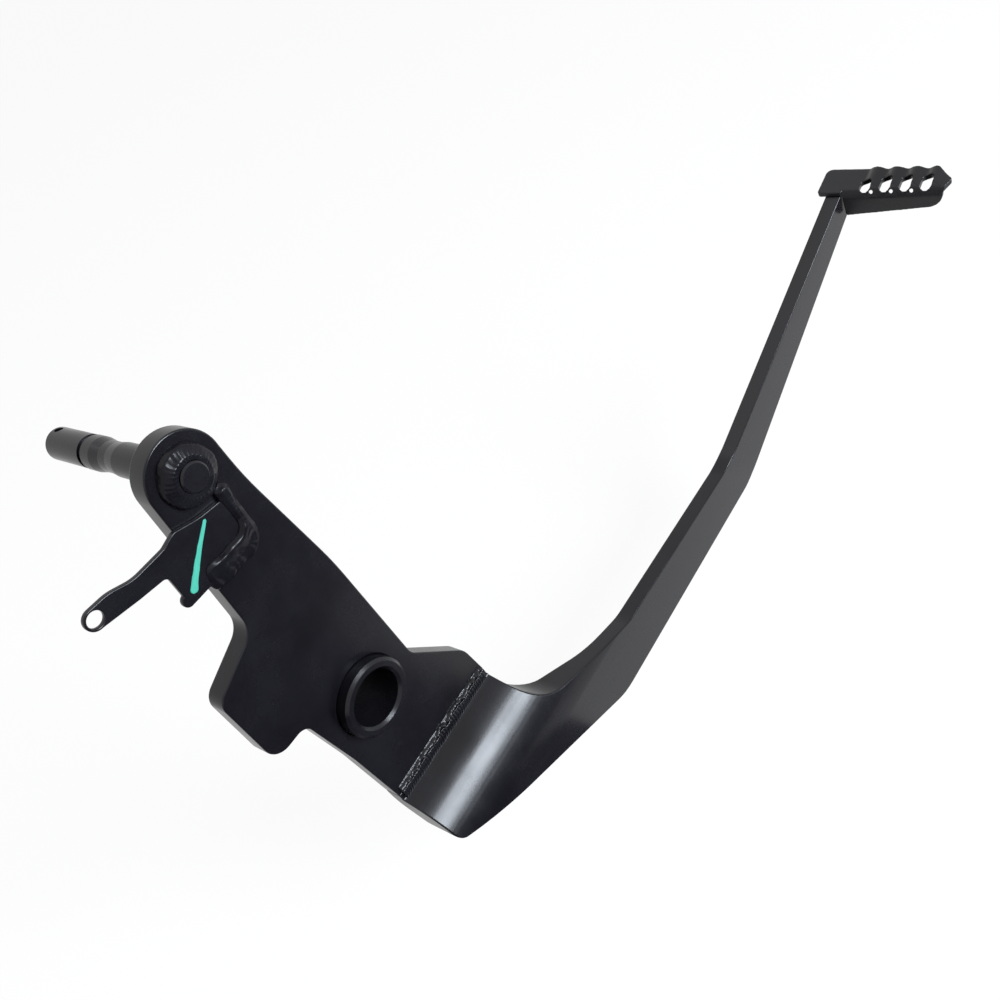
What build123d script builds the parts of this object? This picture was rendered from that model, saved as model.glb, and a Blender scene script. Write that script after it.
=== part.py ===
"""Rear brake pedal of a motorcycle, a welded steel lever.

X points forward, Y points inboard and Z points up, as the pedal hangs on its pivot.
The origin is on the pivot axis, at the outer face of the rear plate.
"""
from build123d import *
import math
import os

os.makedirs("parts", exist_ok=True)

# Plate stock
plate_t = 6.5

# Pivot bush
bush_outer_r = 12.5
bush_bore_r = 9.0
bush_front = 4.3
bush_length = 38.0
bush_chamfer = 0.9
bush_weld_leg = 3.0

# Head of the rear plate and the rod pin that it carries
pin_x = -4.5
pin_z = 95.2
head_r = 11.2
stub_r = 4.0
stub_front = 4.0
stub_chamfer = 0.5
pin_r = 4.65
pin_reach = 60.3
pin_end_chamfer = 1.0
groove_from_end = 17.5
groove_w = 1.8
groove_depth = 0.45
collar_w = 4.0
collar_proud = 0.1
waist_from_end = 27.0
waist_w = 3.3
waist_depth = 0.45
waist_taper = 4.0
cotter_d = 2.5
cotter_from_end = 3.0
cotter_tilt = 14.0
pin_weld_r = 8.4
pin_weld_h = 3.2
pin_weld_brow = 1.4
pin_weld_cheek = 0.7
pin_back_weld_leg = 3.0

# Outline of the rear plate
neck_top_x = 7.5
neck_top_z = 84.0
neck_top_r = 120.0
bow_x = 14.8
bow_z = 44.5
bow_r = 150.0
foot_x = 19.6
foot_z = -4.2
foot_r = 8.0
shoulder_x = 36.6
shoulder_z = -24.1
shoulder_r = 10.0
throat_z = 49.7
throat_r = 6.5
lobe_x = -34.6
lobe_top_z = 41.3
lobe_corner_r = 5.0
lobe_low_x = -33.1
lobe_bottom_z = 12.5
lobe_heel_r = 6.0
notch_x = -20.6
notch_r = 4.0
heel_bend_x = -15.6
heel_bend_z = -13.0
heel_bend_r = 60.0

# Seam between the two plates, and the offset bend below it
seam_drop = 39.5
seam_tilt = 2.4
seam_rear_x = -11.8
seam_front_x = 39.4
bend_run_up = 5.7
bend_angle = 45.0
bend_inner_r = 7.1
arm_offset = 20.0
seam_bead_w = 6.4
seam_bead_h = 1.1
seam_bead_inset = 1.5
seam_foot_front = 0.8
seam_foot_back = 0.1

# Outline of the arm
heel_x = -10.7
heel_z = -58.6
heel_r = 4.5
belly_x = 77.4
belly_z = -93.6
belly_r = 25.7
crook_x = 41.0
crook_z = -54.9
crook_r = 18.0
neck_x = 94.1
neck_z = -69.0
neck_r = 26.0
knee_top_x = 184.7
knee_top_z = -70.5
knee_top_r = 25.6
knee_low_x = 198.3
knee_low_z = -91.7
knee_low_r = 21.8
rise_angle = 37.0
lean_angle = 9.25
lean_r = 60.0
tip_start = 1.0
tip_ahead = 1.1
tip_depth = 8.2
tip_round = 3.5

# Foot pad
pad_x = 284.0
pad_out = 29.9
pad_z = -1.35
pad_tilt = 12.4
pad_length = 53.0
pad_depth = 14.7
pad_taper = 2.2
pad_end_cut = 2.4
pad_t = 2.2
pad_corner = 6.3
pad_end_r = 1.5
pad_inner_r = 2.8
apron_clearance = 0.15
apron_drop_in = 12.8
apron_drop_out = 8.7
apron_fold_r = 4.0
apron_end_r = 7.0
apron_corner_r = 0.8
ridge_first = 21.5
ridge_pitch = 8.1
ridge_steep = 2.7
ridge_gentle = 3.9
ridge_end = 3.3
ridge_count = 4
ridge_rise = 1.6
ridge_bend_r = 3.0
slot_w = 4.7
slot_near = 1.0
slot_far = 8.1
slot_first_far = 6.6
slot_r = 1.9
slot_shift = -2.0
drain_d = 1.6
drain_shift = 0.8
pad_weld_leg = 2.4

# Spring bracket
bracket_t = 1.5
eye_x = -42.1
eye_z = 86.0
eye_outer_r = 2.9
eye_hole_r = 2.15
bracket_front_x = -1.7
bracket_top_z = 84.6
bracket_edge_x = -9.0
bracket_edge_z = 85.5
bracket_edge_r = 20.0
bracket_rise_x = -16.3
bracket_rise_z = 87.7
bracket_rise_r = 3.0
bracket_dip_x = -20.5
bracket_dip_r = 4.0
waist_front_x = -30.2
waist_rear_x = -36.5
waist_rise = 2.25
waist_x = -32.0
waist_top_z = 86.35
waist_low_z = 81.3
waist_bend_r = 12.0
bracket_rear_x = -23.9
bracket_knee_z = 80.2
bracket_base_z = 69.4
bracket_corner_r = 1.2
bracket_knee_r = 1.6
nub_r = 1.9
nub_in = 0.5
bracket_weld_h = 2.6
bracket_weld_slope = 1.4
bracket_weld_top_r = 2.0
bracket_weld_out = 3.6
bracket_weld_in = 0.6
bracket_weld_top = 4.0
bracket_weld_below = 3.1
bracket_weld_above = 5.3
bracket_weld_end_x = -16.9
bracket_weld_r = 5.5
bracket_weld_in_r = 2.5
bracket_weld_end_r = 2.2

# Directions along the seam and down across it, seen on the outer face
tilt = math.radians(seam_tilt)
along = Vector(math.cos(tilt), 0, math.sin(tilt))
down = Vector(math.sin(tilt), 0, -math.cos(tilt))
face = Plane.XZ


def seam_z(x):
    """Height of the seam at a distance forward."""
    return x * math.tan(tilt) - seam_drop / math.cos(tilt)


def seam_run(x):
    """Distance along the seam of a point on it at a distance forward."""
    return x / math.cos(tilt) - seam_drop * math.tan(tilt)


def across_seam(x):
    """Plane across the seam at a distance forward: down the arm, then outward."""
    return Plane(origin=along * seam_run(x), x_dir=down, z_dir=along * -1)


def rounded(*corners):
    """Closed outline through corners, each given as across, up and radius."""
    FilletPolyline(
        *[(across, up) for across, up, radius in corners],
        radius=[radius for across, up, radius in corners],
        close=True,
    )


# Rear plate, with its pin head, stop lobe and bush seat
head_rear_x = pin_x - head_r
head_front_x = pin_x + head_r
with BuildPart() as rear_plate:
    with BuildSketch(face.offset(-plate_t)):
        with BuildLine():
            rounded(
                (head_front_x, pin_z, 0),
                (head_rear_x, pin_z, 0),
                (head_rear_x, throat_z, throat_r),
                (lobe_x, lobe_top_z, lobe_corner_r),
                (lobe_low_x, lobe_bottom_z, lobe_heel_r),
                (notch_x, lobe_bottom_z, notch_r),
                (heel_bend_x, heel_bend_z, heel_bend_r),
                (seam_rear_x, seam_z(seam_rear_x), 0),
                (seam_front_x, seam_z(seam_front_x), 0),
                (shoulder_x, shoulder_z, shoulder_r),
                (foot_x, foot_z, foot_r),
                (bow_x, bow_z, bow_r),
                (neck_top_x, neck_top_z, neck_top_r),
            )
        make_face()
        with Locations((pin_x, pin_z)):
            Circle(head_r)
            Circle(stub_r, mode=Mode.SUBTRACT)
        Circle(bush_outer_r, mode=Mode.SUBTRACT)
    extrude(amount=plate_t)
rear_plate.part.label = "rear_plate"
export_step(rear_plate.part, "parts/rear_plate.step")

# Front arm: a sheet bent outward below the seam and again at the knee, trimmed to its outline
sheet_mid = -plate_t / 2
bend_r = bend_inner_r + plate_t / 2
bend_start = seam_drop + bend_run_up
bend_end = bend_start + arm_offset / math.tan(math.radians(bend_angle))
rise = math.radians(rise_angle)
lean = math.radians(lean_angle)
pad_lift = math.radians(pad_tilt)
sheet_front = knee_top_x - knee_top_r
sheet_rear = seam_rear_x - plate_t
sheet_low = plate_t - knee_low_z
knee_lap = (knee_top_x - neck_x) * 0.7
arm_end_x = pad_x + pad_depth * math.cos(pad_lift) + tip_ahead
arm_reach = arm_end_x - knee_top_x
trim_depth = arm_offset + plate_t + arm_reach


def under_pad_z(x):
    """Height of the tread's underside at a distance forward."""
    return pad_z - pad_t / math.cos(pad_lift) + (x - pad_x) * math.tan(pad_lift)


knee_turn = Plane(
    origin=(knee_top_x, 0, knee_top_z),
    x_dir=(math.cos(rise), 0, math.sin(rise)),
    z_dir=(math.sin(rise), 0, -math.cos(rise)),
)
with BuildPart() as front_arm:
    with BuildSketch(across_seam(sheet_front)):
        with BuildLine():
            FilletPolyline(
                (seam_drop, sheet_mid),
                (bend_start, sheet_mid),
                (bend_end, arm_offset + sheet_mid),
                (sheet_low, arm_offset + sheet_mid),
                radius=bend_r,
            )
        trace(line_width=plate_t)
    extrude(amount=sheet_front - sheet_rear)
    with BuildSketch(knee_turn.offset(-knee_top_r)):
        with BuildLine():
            FilletPolyline(
                (-knee_lap, arm_offset + sheet_mid),
                (0, arm_offset + sheet_mid),
                (arm_reach * 1.5, arm_offset + sheet_mid + arm_reach * 1.5 * math.tan(lean)),
                radius=lean_r,
            )
        trace(line_width=plate_t)
    extrude(amount=knee_top_r * 3)
    with BuildSketch(face.offset(-plate_t * 2)):
        with BuildLine():
            rounded(
                (seam_front_x, seam_z(seam_front_x) + plate_t, 0),
                (seam_rear_x, seam_z(seam_rear_x) + plate_t, 0),
                (seam_rear_x, seam_z(seam_rear_x), 0),
                (heel_x, heel_z, heel_r),
                (belly_x, belly_z, belly_r),
                (knee_low_x, knee_low_z, knee_low_r),
                (arm_end_x, under_pad_z(arm_end_x) - tip_depth, tip_round),
                (arm_end_x, under_pad_z(arm_end_x), 0),
                (pad_x + tip_start, under_pad_z(pad_x + tip_start), 0),
                (knee_top_x, knee_top_z, knee_top_r),
                (neck_x, neck_z, neck_r),
                (crook_x, crook_z, crook_r),
                (seam_front_x, seam_z(seam_front_x), 0),
            )
        make_face()
    extrude(amount=trim_depth, mode=Mode.INTERSECT)
front_arm.part.label = "front_arm"
export_step(front_arm.part, "parts/front_arm.step")

# Pivot bush, seated in the plate and running inboard
with BuildPart() as pivot_bush:
    with BuildSketch(face.offset(bush_front - bush_length)):
        Circle(bush_outer_r)
        Circle(bush_bore_r, mode=Mode.SUBTRACT)
    extrude(amount=bush_length)
    chamfer(pivot_bush.edges().filter_by(GeomType.CIRCLE), bush_chamfer)
pivot_bush.part.label = "pivot_bush"
export_step(pivot_bush.part, "parts/pivot_bush.step")

# Rod pin, riveted through the plate, with a waist, a collar, a groove and a split-pin hole
radial = Plane(origin=(pin_x, 0, pin_z), x_dir=(1, 0, 0), z_dir=(0, 0, -1))
pin_line = Axis((pin_x, 0, pin_z), (0, -1, 0))
groove_y = groove_from_end - pin_reach
waist_y = waist_from_end - pin_reach
groove_r = pin_r - groove_depth
collar_r = pin_r + collar_proud
waist_r = pin_r - waist_depth
with BuildPart() as rod_pin:
    with BuildSketch(radial):
        with BuildLine():
            Polyline(
                (0, stub_front),
                (stub_r, stub_front),
                (stub_r, -plate_t),
                (pin_r, -plate_t),
                (pin_r, waist_y + waist_w + waist_taper),
                (waist_r, waist_y + waist_w),
                (waist_r, waist_y),
                (collar_r, groove_y + groove_w + collar_w),
                (collar_r, groove_y + groove_w),
                (groove_r, groove_y + groove_w),
                (groove_r, groove_y),
                (pin_r, groove_y),
                (pin_r, -pin_reach),
                (0, -pin_reach),
                close=True,
            )
        make_face()
    revolve(axis=pin_line)
    chamfer(rod_pin.edges().group_by(Axis.Y)[-1], pin_end_chamfer)
    chamfer(rod_pin.edges().group_by(Axis.Y)[0], stub_chamfer)
    with Locations(Plane(
        origin=(pin_x, pin_reach - cotter_from_end, pin_z),
        z_dir=(math.sin(math.radians(cotter_tilt)), 0, math.cos(math.radians(cotter_tilt))),
    )):
        Cylinder(cotter_d / 2, pin_r * 3, mode=Mode.SUBTRACT)
rod_pin.part.label = "rod_pin"
export_step(rod_pin.part, "parts/rod_pin.step")

# Domed weld round the pin's stub on the outer face
with BuildPart() as pin_weld:
    with BuildSketch(radial):
        with BuildLine():
            Polyline(
                (pin_weld_r, 0),
                (stub_r, 0),
                (stub_r, pin_weld_h),
                (stub_r + pin_weld_brow, pin_weld_h),
                (pin_weld_r - pin_weld_cheek, pin_weld_h / 2),
                close=True,
            )
        make_face()
    revolve(axis=pin_line)
pin_weld.part.label = "pin_weld"
export_step(pin_weld.part, "parts/pin_weld.step")


def fillet_ring(axis_plane, inner_r, leg):
    """Ring of weld standing inboard from the plate's inner face."""
    with BuildPart() as ring:
        with BuildSketch(axis_plane):
            with BuildLine():
                Polyline(
                    (inner_r + leg, -plate_t),
                    (inner_r, -plate_t),
                    (inner_r, -plate_t - leg),
                    close=True,
                )
            make_face()
        revolve(axis=Axis(axis_plane.origin, (0, -1, 0)))
    return ring


# Fillet weld round the pin on the inner face
pin_back_weld = fillet_ring(radial, pin_r, pin_back_weld_leg)
pin_back_weld.part.label = "pin_back_weld"
export_step(pin_back_weld.part, "parts/pin_back_weld.step")

# Fillet weld round the bush on the inner face
bush_radial = Plane(origin=(0, 0, 0), x_dir=(1, 0, 0), z_dir=(0, 0, -1))
bush_weld = fillet_ring(bush_radial, bush_outer_r, bush_weld_leg)
bush_weld.part.label = "bush_weld"
export_step(bush_weld.part, "parts/bush_weld.step")

# Butt weld along the seam, a crowned bead on each face of the sheet
bead_half = seam_bead_w / 2
bead_front_x = seam_front_x - seam_bead_inset
bead_run = seam_run(bead_front_x) - seam_run(seam_rear_x + seam_bead_inset)
bead_root = plate_t / 4


def seam_bead(surface, crown, foot):
    """Bead over the seam: the sheet's face, the crown above it and the bent side's foot."""
    into = math.copysign(bead_root, crown)
    with BuildPart() as bead:
        with BuildSketch(across_seam(bead_front_x)):
            with BuildLine():
                Polyline(
                    (seam_drop - bead_half, surface),
                    (seam_drop - bead_half, surface - into),
                    (seam_drop + bead_half, surface - into),
                    (seam_drop + bead_half, surface + foot),
                )
                ThreePointArc(
                    (seam_drop + bead_half, surface + foot),
                    (seam_drop, surface + crown),
                    (seam_drop - bead_half, surface),
                )
            make_face()
        extrude(amount=bead_run)
        add(front_arm.part, mode=Mode.SUBTRACT)
        add(rear_plate.part, mode=Mode.SUBTRACT)
    return bead


seam_weld = seam_bead(0, seam_bead_h, seam_foot_front)
seam_weld.part.label = "seam_weld"
export_step(seam_weld.part, "parts/seam_weld.step")
seam_back_weld = seam_bead(-plate_t, -seam_bead_h, seam_foot_back)
seam_back_weld.part.label = "seam_back_weld"
export_step(seam_back_weld.part, "parts/seam_back_weld.step")

# Spring bracket, a flat strip on the outer face that ends in an eye
with BuildPart() as spring_bracket:
    with BuildSketch(face):
        with BuildLine():
            rounded(
                (bracket_front_x, bracket_top_z, bracket_corner_r),
                (bracket_edge_x, bracket_edge_z, bracket_edge_r),
                (bracket_rise_x, bracket_rise_z, bracket_rise_r),
                (bracket_dip_x, waist_top_z, bracket_dip_r),
                (waist_front_x, waist_top_z, waist_bend_r),
                (waist_rear_x, waist_top_z + waist_rise, waist_bend_r),
                (eye_x, eye_z + eye_outer_r, 0),
                (eye_x, eye_z - eye_outer_r, 0),
                (waist_x, waist_low_z, waist_bend_r),
                (bracket_rear_x, bracket_knee_z, bracket_knee_r),
                (bracket_rear_x, bracket_base_z, bracket_corner_r),
                (bracket_front_x, bracket_base_z, bracket_corner_r),
            )
        make_face()
        with Locations((bracket_rear_x + nub_in, bracket_base_z + nub_r)):
            Circle(nub_r)
        with Locations((eye_x, eye_z)):
            Circle(eye_outer_r)
            Circle(eye_hole_r, mode=Mode.SUBTRACT)
    extrude(amount=bracket_t)
spring_bracket.part.label = "spring_bracket"
export_step(spring_bracket.part, "parts/spring_bracket.step")

# Weld that runs down the bracket's front edge and back along its lower edge
weld_front_x = bracket_front_x + bracket_weld_out
weld_back_x = bracket_front_x - bracket_weld_in
weld_top_z = bracket_top_z + bracket_weld_top
weld_low_z = bracket_base_z - bracket_weld_below
weld_high_z = bracket_base_z + bracket_weld_above
with BuildPart() as bracket_weld:
    with BuildSketch(face):
        with BuildLine():
            rounded(
                (weld_front_x, weld_top_z, bracket_weld_top_r),
                (weld_front_x, weld_low_z, bracket_weld_r),
                (bracket_weld_end_x, weld_low_z, bracket_weld_end_r),
                (bracket_weld_end_x, weld_high_z, bracket_weld_end_r),
                (weld_back_x, weld_high_z, bracket_weld_in_r),
                (weld_back_x, weld_top_z, bracket_weld_top_r),
            )
        make_face()
    extrude(amount=bracket_weld_h)
    chamfer(bracket_weld.faces().sort_by(Axis.Y)[0].edges(), bracket_weld_slope)
    add(spring_bracket.part, mode=Mode.SUBTRACT)
    add(pin_weld.part, mode=Mode.SUBTRACT)
bracket_weld.part.label = "bracket_weld"
export_step(bracket_weld.part, "parts/bracket_weld.step")

# Foot pad: a pressed tread with slotted ridges, folded down along its rear edge
pad = Plane(
    origin=(pad_x, -pad_out, pad_z),
    x_dir=(0, -1, 0),
    z_dir=(-math.sin(pad_lift), 0, math.cos(pad_lift)),
)
pad_rise = (pad_x - knee_top_x) * math.cos(rise) + (under_pad_z(pad_x) - knee_top_z) * math.sin(rise)
tip_out = arm_offset + pad_rise * math.tan(lean) - pad_out
tip_in = tip_out - plate_t / math.cos(lean)
creep = math.cos(rise - pad_lift) * math.tan(lean)
apron_start = tip_out + creep * apron_fold_r + apron_clearance
pad_profile = Plane(origin=pad.from_local_coords((apron_start, 0, 0)), x_dir=pad.y_dir, z_dir=pad.x_dir)
pad_back = Plane(origin=pad.origin, x_dir=pad.x_dir, z_dir=pad.y_dir * -1)
tread_mid = -pad_t / 2
front_b = pad_depth - pad_taper
ridge_fit = pad_length / (ridge_first + ridge_pitch * (ridge_count - 1) + ridge_gentle + ridge_end)
ridges = [(ridge_first + ridge_pitch * i) * ridge_fit for i in range(ridge_count)]
crest = ridge_rise * ridge_fit
wave = [(0, tread_mid)]
for ridge in ridges:
    wave += [
        (ridge - ridge_steep * ridge_fit, tread_mid),
        (ridge, tread_mid + crest),
        (ridge + ridge_gentle * ridge_fit, tread_mid),
    ]
wave.append((pad_length, tread_mid))
with BuildPart() as foot_pad:
    with BuildSketch(pad_profile):
        with BuildLine():
            FilletPolyline(
                (apron_fold_r + pad_t, tread_mid),
                (-tread_mid, tread_mid),
                (-tread_mid, -apron_drop_in),
                radius=apron_fold_r + tread_mid,
            )
        trace(line_width=pad_t)
    extrude(amount=pad_length - apron_start)
    with BuildSketch(pad_back.offset(pad_t)):
        with BuildLine():
            rounded(
                (apron_start, pad_t, 0),
                (apron_start, -apron_drop_in, apron_corner_r),
                (pad_length - pad_end_cut, -apron_drop_out, apron_end_r),
                (pad_length - pad_end_cut, pad_t, 0),
            )
        make_face()
    extrude(amount=-pad_depth, mode=Mode.INTERSECT)
    with BuildSketch(pad_back.offset(-pad_depth)):
        with BuildLine():
            FilletPolyline(*wave, radius=ridge_bend_r * ridge_fit)
        trace(line_width=pad_t)
    extrude(amount=pad_depth)
    with BuildSketch(pad_profile.offset(-apron_start)):
        with BuildLine():
            rounded(
                (0, crest, apron_fold_r + crest),
                (pad_depth, crest, 0),
                (pad_depth, -apron_drop_in, 0),
                (0, -apron_drop_in, 0),
            )
        make_face()
    extrude(amount=pad_length, mode=Mode.INTERSECT)
    with BuildSketch(pad):
        Rectangle(apron_start, pad_depth, align=(Align.MIN, Align.MIN))
    extrude(amount=-pad_t)
    with BuildSketch(pad.offset(-apron_drop_in * 2)):
        with BuildLine():
            rounded(
                (0, 0, pad_end_r),
                (pad_length - pad_end_cut, 0, pad_end_r),
                (pad_length, front_b - pad_corner, pad_end_r),
                (pad_length - pad_corner, front_b, pad_end_r),
                (0, pad_depth, pad_inner_r),
            )
        make_face()
    extrude(amount=apron_drop_in * 3, mode=Mode.INTERSECT)
    with BuildSketch(pad.offset(-pad_t * 2)):
        for ridge in ridges:
            far = slot_first_far if ridge == ridges[0] else slot_far
            with Locations((ridge + slot_shift * ridge_fit, (slot_near + far) / 2)):
                RectangleRounded(slot_w * ridge_fit, far - slot_near, slot_r * ridge_fit)
    extrude(amount=pad_t * 4, mode=Mode.SUBTRACT)
    for ridge in ridges[:-1]:
        fold_mid = pad.from_local_coords((ridge + drain_shift, apron_fold_r, -apron_fold_r))
        with BuildSketch(Plane(origin=fold_mid, x_dir=pad.x_dir, z_dir=pad.z_dir - pad.y_dir)):
            Circle(drain_d / 2)
        extrude(amount=apron_fold_r + ridge_rise * 2, mode=Mode.SUBTRACT)
foot_pad.part.label = "foot_pad"
export_step(foot_pad.part, "parts/foot_pad.step")

# Fillet welds under the tread, on each side of the arm's tip
tip_line = pad.y_dir + pad.x_dir * creep


def tip_weld(corner, toe):
    """Bead in the corner between the arm and the tread's underside."""
    root = corner - math.copysign(pad_weld_leg / 2, toe)
    start = apron_fold_r
    with BuildPart() as bead:
        with BuildSketch(pad_back.offset(-start)):
            with BuildLine():
                Polyline(
                    (root + creep * start, -pad_t),
                    (corner + toe + creep * start, -pad_t),
                    (corner + creep * start, -pad_t - pad_weld_leg),
                    (root + creep * start, -pad_t - pad_weld_leg),
                    close=True,
                )
            make_face()
        extrude(amount=pad_depth - start - pad_weld_leg, dir=tip_line)
        add(front_arm.part, mode=Mode.SUBTRACT)
        add(foot_pad.part, mode=Mode.SUBTRACT)
    return bead


tip_outer_weld = tip_weld(tip_out, pad_weld_leg)
tip_outer_weld.part.label = "tip_outer_weld"
export_step(tip_outer_weld.part, "parts/tip_outer_weld.step")
tip_inner_weld = tip_weld(tip_in, -pad_weld_leg)
tip_inner_weld.part.label = "tip_inner_weld"
export_step(tip_inner_weld.part, "parts/tip_inner_weld.step")
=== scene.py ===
import math

import bmesh
import bpy
from mathutils import Matrix, Vector, noise


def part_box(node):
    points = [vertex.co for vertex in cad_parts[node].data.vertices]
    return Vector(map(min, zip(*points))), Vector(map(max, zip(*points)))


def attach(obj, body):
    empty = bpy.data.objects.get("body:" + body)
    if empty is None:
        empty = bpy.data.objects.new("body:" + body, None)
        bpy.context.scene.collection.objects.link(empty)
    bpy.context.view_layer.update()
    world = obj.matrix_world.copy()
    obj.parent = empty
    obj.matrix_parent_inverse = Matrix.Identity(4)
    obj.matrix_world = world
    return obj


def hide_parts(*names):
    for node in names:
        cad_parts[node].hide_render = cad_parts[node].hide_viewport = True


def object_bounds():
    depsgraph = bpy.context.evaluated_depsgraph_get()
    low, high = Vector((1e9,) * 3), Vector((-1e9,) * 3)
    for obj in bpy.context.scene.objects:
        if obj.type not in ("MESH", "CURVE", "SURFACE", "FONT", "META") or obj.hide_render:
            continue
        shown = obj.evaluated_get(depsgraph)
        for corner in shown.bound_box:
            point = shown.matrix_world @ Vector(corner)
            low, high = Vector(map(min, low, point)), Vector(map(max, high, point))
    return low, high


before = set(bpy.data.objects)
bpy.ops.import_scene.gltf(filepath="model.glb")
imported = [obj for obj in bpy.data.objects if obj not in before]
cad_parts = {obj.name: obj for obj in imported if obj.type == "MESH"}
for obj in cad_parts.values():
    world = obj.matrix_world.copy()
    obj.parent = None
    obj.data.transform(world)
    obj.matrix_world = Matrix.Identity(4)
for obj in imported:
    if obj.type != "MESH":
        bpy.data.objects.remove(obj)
cad_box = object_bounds()

bl_info = {
    "name": "Rear Brake Pedal",
    "version": (1, 0, 0),
    "blender": (4, 5, 0),
    "location": "View3D > Sidebar > Pedal",
    "description": "Finishes a welded steel brake pedal: rounded plates, weld beads, paint and stage",
    "category": "Object",
}

# Lengths are in metres, as the frame's are
MM = 0.001
BODY = "root"
OUT = Vector((0, -1, 0))
IN = Vector((0, 1, 0))

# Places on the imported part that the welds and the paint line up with
bush_low, bush_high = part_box("pivot_bush")
ring_low, ring_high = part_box("pin_weld")
pin_low, pin_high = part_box("rod_pin")
bush_ring_low, bush_ring_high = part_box("bush_weld")
back_ring_low, back_ring_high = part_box("pin_back_weld")
strip_low, strip_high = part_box("spring_bracket")
corner_low, corner_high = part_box("bracket_weld")
PIN_X = (ring_low[0] + ring_high[0]) / 2
PIN_Z = (ring_low[2] + ring_high[2]) / 2
STRIP_FACE = strip_low[1]

# Middle of the part, which the lamps face
MIDDLE = (Vector(cad_box[0]) + Vector(cad_box[1])) / 2

# Mesh work: what counts as one point, as one flat face and as a sharp edge, the faces round an edge,
# and how much a large face outweighs a small one in the shading
SAME_POINT = 0.004 * MM
FLAT_ANGLE = math.radians(0.4)
SHARP_ANGLE = math.radians(32)
EDGE_STEPS = 3
FACE_WEIGHT = 80

# Crown of the arm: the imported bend's slope, the crown's rows, and what counts as on a cut or on the face
PACKED_SLOPE = math.pi / 4
CROWN_ROWS = 60
FRONT_NEAR = 0.02 * MM
ROW_NEAR = 0.1 * MM
FACE_NEAR = 1 * MM

# Fine bumps of the coat: their depth, how many grains lie in a metre, and how the rings are drawn out
PEEL_DEPTH = 0.012 * MM
RING_DEPTH = 0.03 * MM
RING_SCALE = 2400
RING_STRETCH = (0.02, 1, 0.02)
WELD_GRAIN_DEPTH = 0.02 * MM
WELD_GRAIN_SCALE = 1100

# Dust baked into the coat, and the paint's streaks along and across its stroke
DUST_COLOUR = (0.022, 0.022, 0.025)
STREAK_DEPTH = 0.05 * MM
STREAK_SCALE = 2.2
STREAK_STRETCH = (1.5, 7.0, 1.0)

# Uneven ripples of the beads: length and strength of the swells, and the share of a ripple that is sunk
WANDER_LENGTH = 3.5 * MM
WANDER = 0.4
UNEVEN_LENGTH = 2.1 * MM
UNEVEN_MEAN = 0.7
UNEVEN = 0.6
LUMP_LENGTH = 3.4 * MM
RIPPLE_SUNK = 0.4

# Torn toe of the seam bead: how its line wavers, the shape of its lip, and the power of the crack's walls
WAVER_LENGTH = 3.1 * MM
WAVER = 0.7 * MM
FRAY_LENGTH = 1.3 * MM
FRAY = 0.3 * MM
LIP_LUMP_LENGTH = 1.5 * MM
LIP_LUMP_MEAN = 0.85
LIP_LUMP = 0.8
LIP_ABOVE_CRACK = 0.85 * MM
LIP_HALF_WIDTH = 0.75 * MM
CRACK_POWER = 0.6


class CoatSettings(bpy.types.PropertyGroup):
    """Black powder coat on plates, tread, bush, pin and welds."""

    deep: bpy.props.FloatVectorProperty(
        name="Deep Colour", description="Colour of the coat where it lies thick",
        default=(0.0024, 0.0023, 0.0034), size=3, subtype="COLOR", min=0.0, max=1.0)
    bloom: bpy.props.FloatVectorProperty(
        name="Bloom Colour", description="Colour of the faint clouds in the coat",
        default=(0.0050, 0.0048, 0.0068), size=3, subtype="COLOR", min=0.0, max=1.0)
    gloss_low: bpy.props.FloatProperty(
        name="Smoothest", description="Roughness of the smoothest patches",
        default=0.22, subtype="FACTOR", min=0.0, max=1.0)
    gloss_high: bpy.props.FloatProperty(
        name="Roughest", description="Roughness of the dullest patches",
        default=0.30, subtype="FACTOR", min=0.0, max=1.0)
    shine: bpy.props.FloatProperty(
        name="Shine", description="Strength of the coat's gloss, where 0.5 is a plain varnish",
        default=0.3, subtype="FACTOR", min=0.0, max=1.0)
    weld_bloom: bpy.props.FloatVectorProperty(
        name="Weld Bloom", description="Colour of the faint clouds in the coat over the welds",
        default=(0.0065, 0.0062, 0.0085), size=3, subtype="COLOR", min=0.0, max=1.0)
    weld_low: bpy.props.FloatProperty(
        name="Smoothest Weld", description="Roughness of the smoothest patches on the welds",
        default=0.20, subtype="FACTOR", min=0.0, max=1.0)
    weld_high: bpy.props.FloatProperty(
        name="Roughest Weld", description="Roughness of the dullest patches on the welds",
        default=0.28, subtype="FACTOR", min=0.0, max=1.0)
    tread_low: bpy.props.FloatProperty(
        name="Smoothest Tread", description="Roughness of the smoothest patches on the tread",
        default=0.24, subtype="FACTOR", min=0.0, max=1.0)
    tread_high: bpy.props.FloatProperty(
        name="Roughest Tread", description="Roughness of the dullest patches on the tread",
        default=0.34, subtype="FACTOR", min=0.0, max=1.0)
    peel: bpy.props.FloatProperty(
        name="Peel Size", description="Width of one dimple of the orange peel",
        default=1.1 * MM, subtype="DISTANCE", unit="LENGTH", min=0.0)
    cloud: bpy.props.FloatProperty(
        name="Cloud Size", description="Width of one cloud in the coat",
        default=24 * MM, subtype="DISTANCE", unit="LENGTH", min=0.0)
    edge: bpy.props.FloatProperty(
        name="Edge Round", description="Radius of the plates' rounded edges",
        default=0.55 * MM, subtype="DISTANCE", unit="LENGTH", min=0.0)
    sheet_edge: bpy.props.FloatProperty(
        name="Sheet Edge Round", description="Radius of the thin sheets' rounded edges",
        default=0.35 * MM, subtype="DISTANCE", unit="LENGTH", min=0.0)
    skin: bpy.props.FloatProperty(
        name="Skin Mesh", description="Mesh size of the pressed tread's softened skin",
        default=0.25 * MM, subtype="DISTANCE", unit="LENGTH", min=0.0)


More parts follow.
